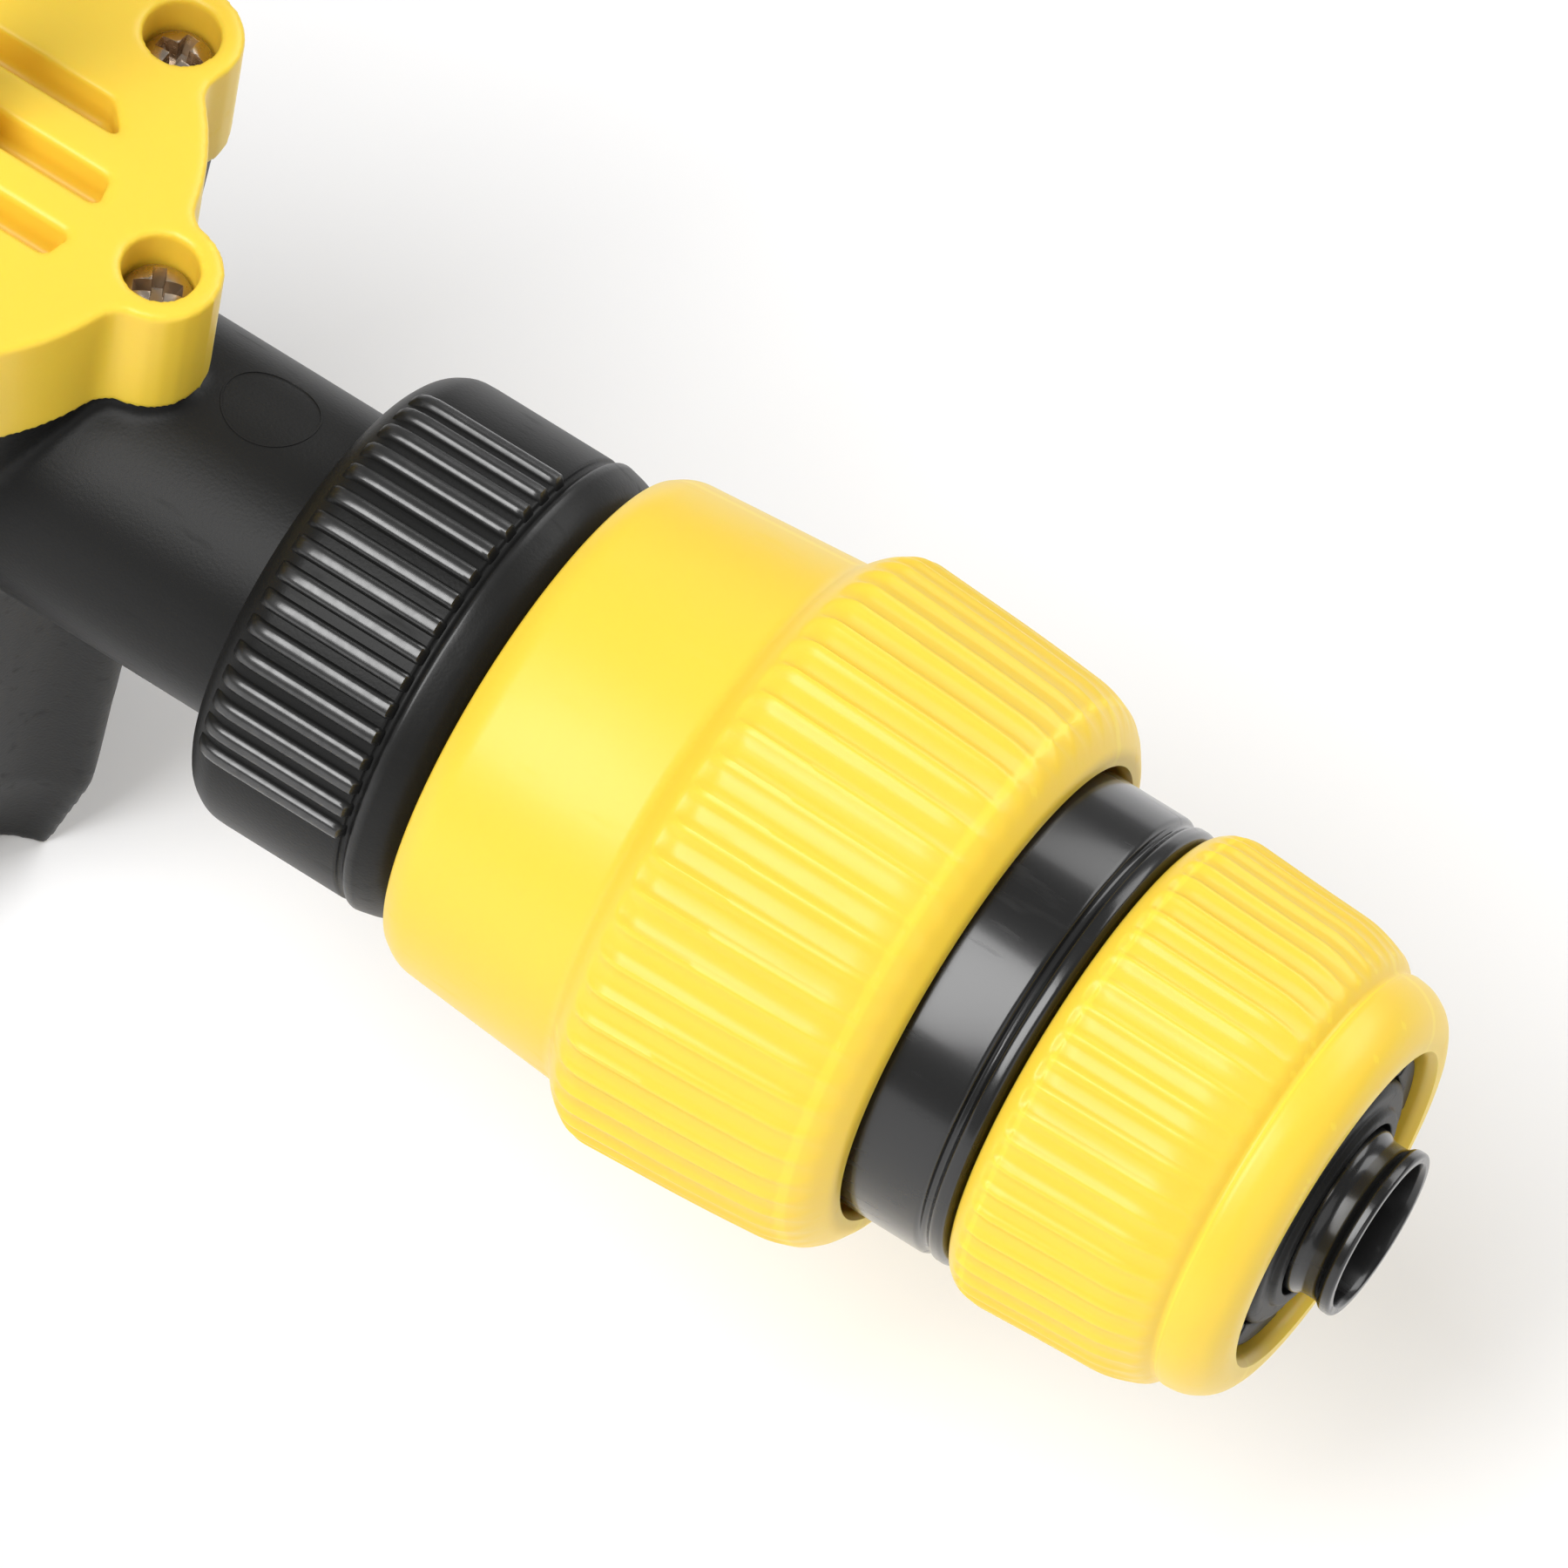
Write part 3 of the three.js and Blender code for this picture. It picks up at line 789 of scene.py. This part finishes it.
class MakeScrews(bpy.types.Operator):
    """Makes the cross-slotted screws at the bottom of the cover's wells"""

    bl_idname = "hose_pump.screws"
    bl_label = "Cover screws"

    def execute(self, context):
        sizes = settings().cover
        seat = sizes.seat / MM
        crown = seat + 1.9
        shank_r, head_r = 1.5, 2.4
        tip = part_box("cover_screw_1")[0][2] / MM
        head = rounded(
            [(tip, 0), (tip, shank_r), (seat, shank_r), (seat, head_r, 0.3), (seat + 1.0, head_r, 0.8),
             (crown - 0.1, 1.5, 0.6), (crown, 0)],
            6,
        )
        shape = object_of("screw_shape", upright(turned("screw_shape", head, 48)))
        for turn in (0, math.pi / 2):
            shape = boolean(shape, "DIFFERENCE", self.slot(crown, turn + 0.5))
        shape = bevelled(shape, 0.08, angle=30, segments=2)
        shape.data.transform(Matrix.Translation((sizes.screw_circle, 0, 0)))
        holder = object_of("cover_screws_visual", bpy.data.meshes.new("cover_screws_visual"))
        screws = with_copies(holder, shape, LOBES, 0.0, WHOLE_TURN / LOBES, ALONG_Z, "nickel")
        nodes = [f"cover_screw_{k + 1}" for k in range(LOBES)]
        fit(screws, "nickel", "casing", "nickel_screw", *nodes, angle=30)
        return {"FINISHED"}

    @staticmethod
    def slot(crown, turn):
        """One bar of the cross slot: a wedge, wide at the face and narrow below."""
        wide, deep, long = 0.42, 1.75, 1.7
        outline = [(-long, -wide), (long, -wide), (long, wide), (-long, wide)]
        bar = prism("slot", outline, crown - deep, crown + 1, top_share=1.25)
        for vert in bar.data.vertices:
            if vert.co.z < crown * MM:
                vert.co.x *= 0.6
                vert.co.y *= 0.85
        bar.data.transform(Matrix.Rotation(turn, 4, "Z"))
        return bar


class MakeCasing(bpy.types.Operator):
    """Makes the black lobed casing with its foot, port necks and threads"""

    bl_idname = "hose_pump.casing"
    bl_label = "Casing"

    def execute(self, context):
        cover, sizes = settings().cover, settings().casing
        top = COVER_LOW[2] / MM - 0.2
        inset, foot = sizes.inset / MM, sizes.foot / MM
        low = lobed_outline(cover, inset + sizes.draft / MM)
        levels = [
            (scaled(low, sizes.foot_share), CASING_LOW[2] / MM),
            (low, foot),
            (lobed_outline(cover, inset), top),
        ]
        casing = lofted("pump_casing_visual", levels)
        neck_r, crest = sizes.neck / MM, sizes.thread / MM
        casing = boolean(casing, "UNION", cross_rod("necks", neck_r, 35))
        casing = boolean(casing, "DIFFERENCE", rod("pocket", 11, -1, 26, sides=96))
        casing = skinned(casing, 0.45, 4)
        casing = boolean(casing, "DIFFERENCE", cross_rod("bore", PORT_R, 50))
        parts = [casing]
        for side in SIDES:
            parts.append(object_of("thread", placed(male_thread(neck_r, crest), side)))
            parts.append(object_of("mark", placed(neck_mark(neck_r), side)))
        casing = joined(parts)
        fit(casing, "black plastic", "casing", "black_plastic", "pump_casing", angle=50)
        return {"FINISHED"}


def neck_mark(neck_r):
    """A faint round witness line on a neck: a thin ring that follows the neck's curve."""
    place, lean, radius, width, proud = 26.5, math.radians(13), 3.3, 0.12, 0.05
    sides = 72
    verts = []
    section = (
        (radius - width, -0.2), (radius - width * 0.5, proud),
        (radius + width * 0.5, proud), (radius + width, -0.2),
    )
    for r, height in section:
        for k in range(sides):
            a = WHOLE_TURN * k / sides
            round_neck = r * math.sin(a) / neck_r - lean
            out = neck_r + height
            along = place + r * math.cos(a)
            verts.append(Vector((along, -out * math.sin(round_neck), out * math.cos(round_neck))) * MM)
    faces = []
    for ring in range(len(section)):
        low, high = ring * sides, (ring + 1) % len(section) * sides
        for k in range(sides):
            j = (k + 1) % sides
            faces.append((low + k, low + j, high + j, high + k))
    mesh = mesh_from("mark", verts, faces)
    outward(mesh)
    return mesh


def male_thread(neck_r, crest):
    """The male thread on a neck: round-crested turns of 1.8 mm pitch between plain lands."""
    pitch, start, stop = 1.8, 34.5, 44.0
    corners = [
        (start - 1, PORT_R), (start - 1, neck_r), (start, neck_r, 0.2), (start, crest - 1.2, 0.2)
    ]
    x = start + 0.8
    while x + pitch < stop:
        corners += [(x, crest - 1.1, 0.3), (x + 0.6, crest, 0.25), (x + 0.9, crest, 0.25),
                    (x + 1.5, crest - 1.1, 0.3)]
        x += pitch
    corners += [(stop, crest - 1.2, 0.3), (stop, PORT_R)]
    return turned("thread", rounded(corners, 3), 96)


# ---------------------------------------------------------------- hose sides


def union_nut_profile():
    """Outside, web, spigot and bore of the tap adaptor."""
    outside = rounded(
        [(33.2, 13.5), (33.2, 14.4, 0.5), (34.0, 15.7, 0.8), (35.4, 16.45, 0.9), (36.6, 16.5),
         (45.6, 16.5, 0.2), (45.75, 16.2, 0.2), (46.1, 16.2, 0.2), (46.4, 16.75, 0.35),
         (48.4, 16.3, 0.8), (49.4, 15.4, 0.3), (49.4, 7.4)]
    )
    spigot = rounded(
        [(49.4, 7.4), (56, 7.4, 0.2), (56, 8.6, 0.3), (56.6, 8.6, 0.3), (58, 7.4, 0.3), (62, 7.4, 0.2),
         (62, 6.3), (64.6, 6.3), (64.6, 7.4, 0.2), (68.2, 7.2, 0.6), (69, 6.4, 0.3), (69, 4.6, 0.2),
         (45.5, 4.6), (45.5, 13.5), (33.2, 13.5)]
    )
    return outside, spigot


class MakeTapAdaptors(bpy.types.Operator):
    """Makes the black union nuts with their rib groups and spigots"""

    bl_idname = "hose_pump.tap_adaptors"
    bl_label = "Tap adaptors"

    def execute(self, context):
        sizes = settings().connector
        outside, spigot = union_nut_profile()
        finish = "handled black plastic"
        for side in SIDES:
            name = f"{side}_tap_adaptor_visual"
            nut = object_of(name, turned(name, outside + spigot[1:-1], 160))
            half = (sizes.nut_ribs - 1) / 2
            for turn in (sizes.nut_turn, sizes.nut_turn + math.pi):
                rib = grip_rib(outside, 34.4, 45.9, width=1.35, height=0.5, flat=0.1, fade=0.6)
                first = turn - half * sizes.nut_step
                nut = with_copies(nut, rib, sizes.nut_ribs, first, sizes.nut_step, ALONG_X, finish)
            placed(nut.data, side)
            fit(nut, finish, f"{side}_adaptor", "black_plastic", f"{side}_tap_adaptor")
        return {"FINISHED"}


def from_face(*corners):
    """Corners measured from the connector's face, moved to the pump's own frame."""
    face = settings().connector.face / MM
    return [(corner[0] + face, *corner[1:]) for corner in corners]


class MakeSleeves(bpy.types.Operator):
    """Makes the yellow release sleeves with their ribbed collars"""

    bl_idname = "hose_pump.sleeves"
    bl_label = "Release sleeves"

    def execute(self, context):
        sizes = settings().connector
        face = sizes.face / MM
        left, right = face + 15.9, face + 34.4
        outside = rounded(
            from_face(
                (0.2, 16.6), (0.2, 17.4, 0.9), (1.6, 18.35, 1.4), (7, 18.8, 2), (14.3, 19.4, 0.6),
                (15.6, 20.9, 0.9), (17.1, 21.75, 0.8), (26, 21.25, 3), (31.5, 20.75, 2), (33.6, 19.9, 1.6),
                (35, 17.9, 0.7), (35, 16.9, 0.4),
            ),
            8,
        )
        outside = with_steps(outside, left, right, 0.5)
        inside = rounded(from_face((35, 16.9), (34.4, 16.6, 0.3), (20.3, 16.6), (20.3, 13.3),
                                   (0.6, 13.3, 0.3), (0.2, 13.8), (0.2, 16.6)))
        for side in SIDES:
            name = f"{side}_release_sleeve_visual"
            sides = sizes.rib_count * FLUTE_SIDES
            sleeve = object_of(name, turned(name, outside + inside[1:-1], sides))
            fluted(sleeve.data, sizes.rib_count, sizes.sleeve_turn, left, right, sizes.flute / MM, 17.5)
            placed(sleeve.data, side)
            fit(sleeve, "yellow plastic", f"{side}_sleeve", "yellow_plastic", f"{side}_release_sleeve")
        return {"FINISHED"}


class MakeConnectorBodies(bpy.types.Operator):
    """Makes the glossy connector bodies with clamp thread and stepped hose tail"""

    bl_idname = "hose_pump.connector_bodies"
    bl_label = "Connector bodies"

    def execute(self, context):
        ring = rounded(
            [(51.5, 8.9), (51.5, 12.6, 0.5), (52.4, 13.2, 0.4), (79, 13.2), (79, 15.8, 0.4),
             (79.6, 16.2, 0.4), (90.0, 16.2, 0.25), (90.25, 15.75, 0.2), (90.6, 15.75, 0.2),
             (90.9, 16.1, 0.25), (91.7, 16.1, 0.3), (92, 15.7, 0.2), (92, 12.6)]
        )
        thread = []
        x = 92.6
        while x < 103:
            thread += [(x, 11.9, 0.3), (x + 0.7, 12.6, 0.3), (x + 1.1, 12.6, 0.3), (x + 1.8, 11.9, 0.3)]
            x += 3
        thread = rounded([(92, 11.9), *thread, (104, 11.9, 0.2), (104, 11.4), (95, 11.4), (95, 6.5)], 3)
        tail = rounded(
            [(95, 5.95), (111.6, 5.95, 0.2), (112.1, 5.6, 0.3), (113.3, 5.6, 0.3), (113.7, 6.0, 0.25),
             (114.35, 6.0, 0.12), (114.5, 5.85, 0.1), (114.5, 5.35, 0.1), (114.2, 5.2, 0.2),
             (111.5, 4.9, 0.5), (110, 4.6, 0.5), (72, 4.6), (72, 8.9), (51.5, 8.9)]
        )
        profile = ring + thread[1:] + tail[1:-1]
        for side in SIDES:
            name = f"{side}_connector_body_visual"
            body = object_of(name, placed(turned(name, profile, 160), side))
            fit(body, "gloss black plastic", f"{side}_connector", "gloss_black_plastic",
                f"{side}_connector_body")
        return {"FINISHED"}


class MakeCollets(bpy.types.Operator):
    """Makes the grip collets: a ring with claws round its front edge"""

    bl_idname = "hose_pump.collets"
    bl_label = "Grip collets"

    def execute(self, context):
        claws = settings().connector.claws
        ring = rounded(
            [(98, 8.6), (98, 10.9, 0.4), (107.9, 10.9, 0.3), (108.2, 9.3, 0.2), (108.2, 9.0, 0.1),
             (110.4, 9.0, 0.3), (110.8, 8.5, 0.3), (110.8, 7.4, 0.15), (111.25, 7.15, 0.2),
             (111.3, 6.35, 0.15), (109.2, 6.3), (109.2, 8.6)]
        )
        for side in SIDES:
            name = f"{side}_grip_collet_visual"
            collet = object_of(name, turned(name, ring, 128))
            step = WHOLE_TURN / claws
            claw = self.claw(step * 0.485)
            collet = with_copies(collet, claw, claws, math.radians(9), step, ALONG_X, "black plastic")
            placed(collet.data, side)
            fit(collet, "black plastic", f"{side}_collet", "black_plastic", f"{side}_grip_collet")
        return {"FINISHED"}

    @staticmethod
    def claw(half):
        """One claw: a curved block with bevelled corners, at straight up."""
        outer_r, inner_r, back, tip, steps = 10.9, 9.15, 107.5, 110.2, 8
        outline = []
        for radius, turn in ((inner_r, 1), (outer_r, -1)):
            for k in range(steps + 1):
                a = turn * half * (2 * k / steps - 1)
                outline.append((radius * math.sin(a), radius * math.cos(a)))
        block = prism("claw", outline, back, tip)
        # Stand the outline across X: its height becomes the length along the axis.
        block.data.transform(Matrix(((0, 0, 1, 0), (-1, 0, 0, 0), (0, 1, 0, 0), (0, 0, 0, 1))))
        outward(block.data)
        return bevelled(block, 0.3, angle=40)


class MakeClampNuts(bpy.types.Operator):
    """Makes the yellow clamp nuts with ribs and a smooth rounded lip"""

    bl_idname = "hose_pump.clamp_nuts"
    bl_label = "Clamp nuts"

    def execute(self, context):
        sizes = settings().connector
        face = sizes.face / MM
        left, right = face + 43.6, face + 57.3
        outside = rounded(
            from_face(
                (42.6, 13.2), (42.6, 16.1, 0.6), (43.6, 16.95, 0.8), (44.8, 17.25, 0.8), (50, 16.95, 2),
                (54.5, 16.75, 1.4), (56.8, 15.9, 1.0), (57.5, 15.05, 0.5), (58.0, 15.25, 0.4),
                (59.4, 15.1, 0.9), (60.9, 14.2, 1.3), (61.6, 12.8, 0.6), (61.6, 11.7, 0.4),
            ),
            8,
        )
        outside = with_steps(outside, left, right, 0.5)
        inside = rounded(from_face((61.6, 11.7), (61.0, 11.3, 0.3), (56.5, 11.2), (55.0, 12.9),
                                   (43.0, 12.9), (42.6, 13.2)))
        for side in SIDES:
            name = f"{side}_clamp_nut_visual"
            sides = sizes.rib_count * FLUTE_SIDES
            nut = object_of(name, turned(name, outside + inside[1:-1], sides))
            fluted(nut.data, sizes.rib_count, sizes.clamp_turn, left, right, sizes.flute / MM * 0.8, 15)
            placed(nut.data, side)
            fit(nut, "yellow plastic", f"{side}_clamp", "yellow_plastic", f"{side}_clamp_nut")
        return {"FINISHED"}


# ---------------------------------------------------------------- shaft and inner pieces


class MakeShaft(bpy.types.Operator):
    """Makes the drive shaft with its hexagon shank"""

    bl_idname = "hose_pump.shaft"
    bl_label = "Drive shaft"

    def execute(self, context):
        low, top = SHAFT_LOW[2] / MM, SHAFT_HIGH[2] / MM
        shank_low, flats, rod_r = 92.0, 6.35, 2.5
        corner_r = flats / math.sqrt(3)
        blank_r, groove_r = 3.9, 2.6
        blank = rounded(
            [(shank_low, 0), (shank_low, 2.4), (shank_low + 1.1, blank_r, 0.2), (top - 9.2, blank_r),
             (top - 8.2, groove_r, 0.5), (top - 6.6, groove_r, 0.5), (top - 5.6, blank_r),
             (top - 1.2, blank_r, 0.2), (top, 2.3, 0.2), (top, 0)]
        )
        shank = object_of("drive_shaft_visual", upright(turned("drive_shaft_visual", blank, 96)))
        corners = [WHOLE_TURN * k / 6 for k in range(6)]
        outline = [(corner_r * math.cos(a), corner_r * math.sin(a)) for a in corners]
        shank = boolean(shank, "INTERSECT", prism("hexagon", outline, shank_low - 1, top + 1))
        shank = bevelled(shank, 0.12, angle=25, segments=2)
        joint = shank_low + 0.6
        turned_down = rounded(
            [(low, 0), (low, rod_r - 0.3), (low + 0.4, rod_r, 0.2), (joint, rod_r), (joint, 0)]
        )
        shaft = joined([shank, object_of("rod", upright(turned("rod", turned_down, 96)))])
        fit(shaft, "shaft steel", "rotor", "shaft_steel", "drive_shaft", angle=25)
        return {"FINISHED"}


class DressInnerPieces(bpy.types.Operator):
    """Gives the inner pieces, whose shapes come from the frame, their finishes"""

    bl_idname = "hose_pump.inner_pieces"
    bl_label = "Inner pieces"

    def execute(self, context):
        finish_of = {
            "cover_gasket": "rubber", "shaft_seal": "rubber", "impeller": "rubber",
            "top_bush": "bronze", "bottom_bush": "bronze", "thrust_washer": "bronze",
            "retaining_ring": "spring steel",
        }
        for side in SIDES:
            finish_of[f"{side}_flat_washer"] = "rubber"
            finish_of[f"{side}_spigot_o_ring"] = "rubber"
            finish_of[f"{side}_lock_ring"] = "black plastic"
            finish_of[f"{side}_sleeve_spring"] = "spring steel"
        for node, finish in finish_of.items():
            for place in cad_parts[node].material_slots:
                place.material = finishes()[finish]
        return {"FINISHED"}


# ---------------------------------------------------------------- studio


class MakeStudio(bpy.types.Operator):
    """Makes the camera, the pale floor and the soft lights"""

    bl_idname = "hose_pump.studio"
    bl_label = "Studio"

    def execute(self, context):
        sizes = settings().studio
        self.camera(sizes)
        self.floor(sizes)
        self.lights()
        self.room()
        return {"FINISHED"}

    @staticmethod
    def camera(sizes):
        """Looks down on the outlet side, with the hose axis falling to the right."""
        right = Vector((0.8314, 0.5428, 0.1192)).normalized()
        back = Vector((0.2147, -0.5116, 0.8320))
        back = (back - right * back.dot(right)).normalized()
        up = back.cross(right)
        joint = Vector((settings().connector.face, 0, PORT_Z))
        aside, below = 16.16 * MM, 4.59 * MM
        target = joint + right * aside - up * below
        camera = bpy.data.objects.new("camera", bpy.data.cameras.new("camera"))
        camera.data.lens = sizes.focal
        camera.data.sensor_width = 36
        camera.data.clip_end = 20
        turn = Matrix((right, up, back)).transposed().to_4x4()
        camera.matrix_world = Matrix.Translation(target + back * sizes.distance) @ turn
        bpy.context.scene.collection.objects.link(camera)
        bpy.context.scene.camera = camera

    @staticmethod
    def lights():
        centre = Vector((0.06, 0, 0.04))
        for name, spot, width, height, power in (
            ("key light", (-0.18, -0.63, 0.97), 0.5, 1.05, 13.5),
            ("fill light", (0.85, -0.5, 0.45), 0.7, 0.7, 1.2),
            ("back light", (0.3, 0.8, 0.75), 0.9, 0.6, 6.0),
        ):
            lamp = bpy.data.objects.new(name, bpy.data.lights.new(name, "AREA"))
            lamp.data.shape = "RECTANGLE"
            lamp.data.size = width
            lamp.data.size_y = height
            lamp.data.energy = power
            lamp.location = spot
            lamp.rotation_euler = (centre - Vector(spot)).to_track_quat("-Z", "Y").to_euler()
            bpy.context.scene.collection.objects.link(lamp)

    @staticmethod
    def room():
        world = bpy.data.worlds.new("soft room")
        world.use_nodes = True
        background = world.node_tree.nodes["Background"]
        background.inputs["Color"].default_value = (1, 1, 1, 1)
        background.inputs["Strength"].default_value = 0.32
        bpy.context.scene.world = world
        bpy.context.scene.view_settings.view_transform = "Standard"

    @staticmethod
    def floor(sizes):
        half = 3.0
        verts = [(-half, -half, 0), (half, -half, 0), (half, half, 0), (-half, half, 0)]
        floor = object_of("studio_floor", mesh_from("studio_floor", verts, [(0, 1, 2, 3)]))
        g = Graph("pale floor")
        clouds = g.noise(3, 2)
        tone = g.mix(clouds, shade(sizes.floor, 0.99), shade(sizes.floor, 1.01))
        floor.data.materials.append(g.finish(**{"Base Color": tone, "Roughness": 0.85}))


# ---------------------------------------------------------------- add-on


class HosePump(bpy.types.PropertyGroup):
    cover: bpy.props.PointerProperty(type=CoverSizes)
    casing: bpy.props.PointerProperty(type=CasingSizes)
    connector: bpy.props.PointerProperty(type=ConnectorSizes)
    colours: bpy.props.PointerProperty(type=FinishColours)
    studio: bpy.props.PointerProperty(type=StudioSizes)


OPERATORS = (
    MakeStudio, MakeCover, MakeScrews, MakeCasing, MakeTapAdaptors, MakeSleeves,
    MakeConnectorBodies, MakeCollets, MakeClampNuts, MakeShaft, DressInnerPieces,
)


class HosePumpPanel(bpy.types.Panel):
    """Lists the pump's pieces, sizes and colours"""

    bl_idname = "VIEW3D_PT_hose_pump"
    bl_label = "Hose pump head"
    bl_space_type = "VIEW_3D"
    bl_region_type = "UI"
    bl_category = "Hose pump"

    def draw(self, context):
        pump = settings()
        for group in (pump.cover, pump.casing, pump.connector, pump.colours, pump.studio):
            column = self.layout.column(align=True)
            for key in group.bl_rna.properties.keys():
                if key not in ("rna_type", "name"):
                    column.prop(group, key)
        for operator in OPERATORS:
            self.layout.operator(operator.bl_idname)


CLASSES = (
    CoverSizes, CasingSizes, ConnectorSizes, FinishColours, StudioSizes, HosePump,
    *OPERATORS, HosePumpPanel,
)


def register():
    for item in CLASSES:
        bpy.utils.register_class(item)
    bpy.types.Scene.hose_pump = bpy.props.PointerProperty(type=HosePump)


def unregister():
    del bpy.types.Scene.hose_pump
    for item in reversed(CLASSES):
        bpy.utils.unregister_class(item)


def main():
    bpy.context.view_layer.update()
    register()
    for operator in OPERATORS:
        group, name = operator.bl_idname.split(".")
        getattr(getattr(bpy.ops, group), name)()


if __name__ == "__main__":
    main()
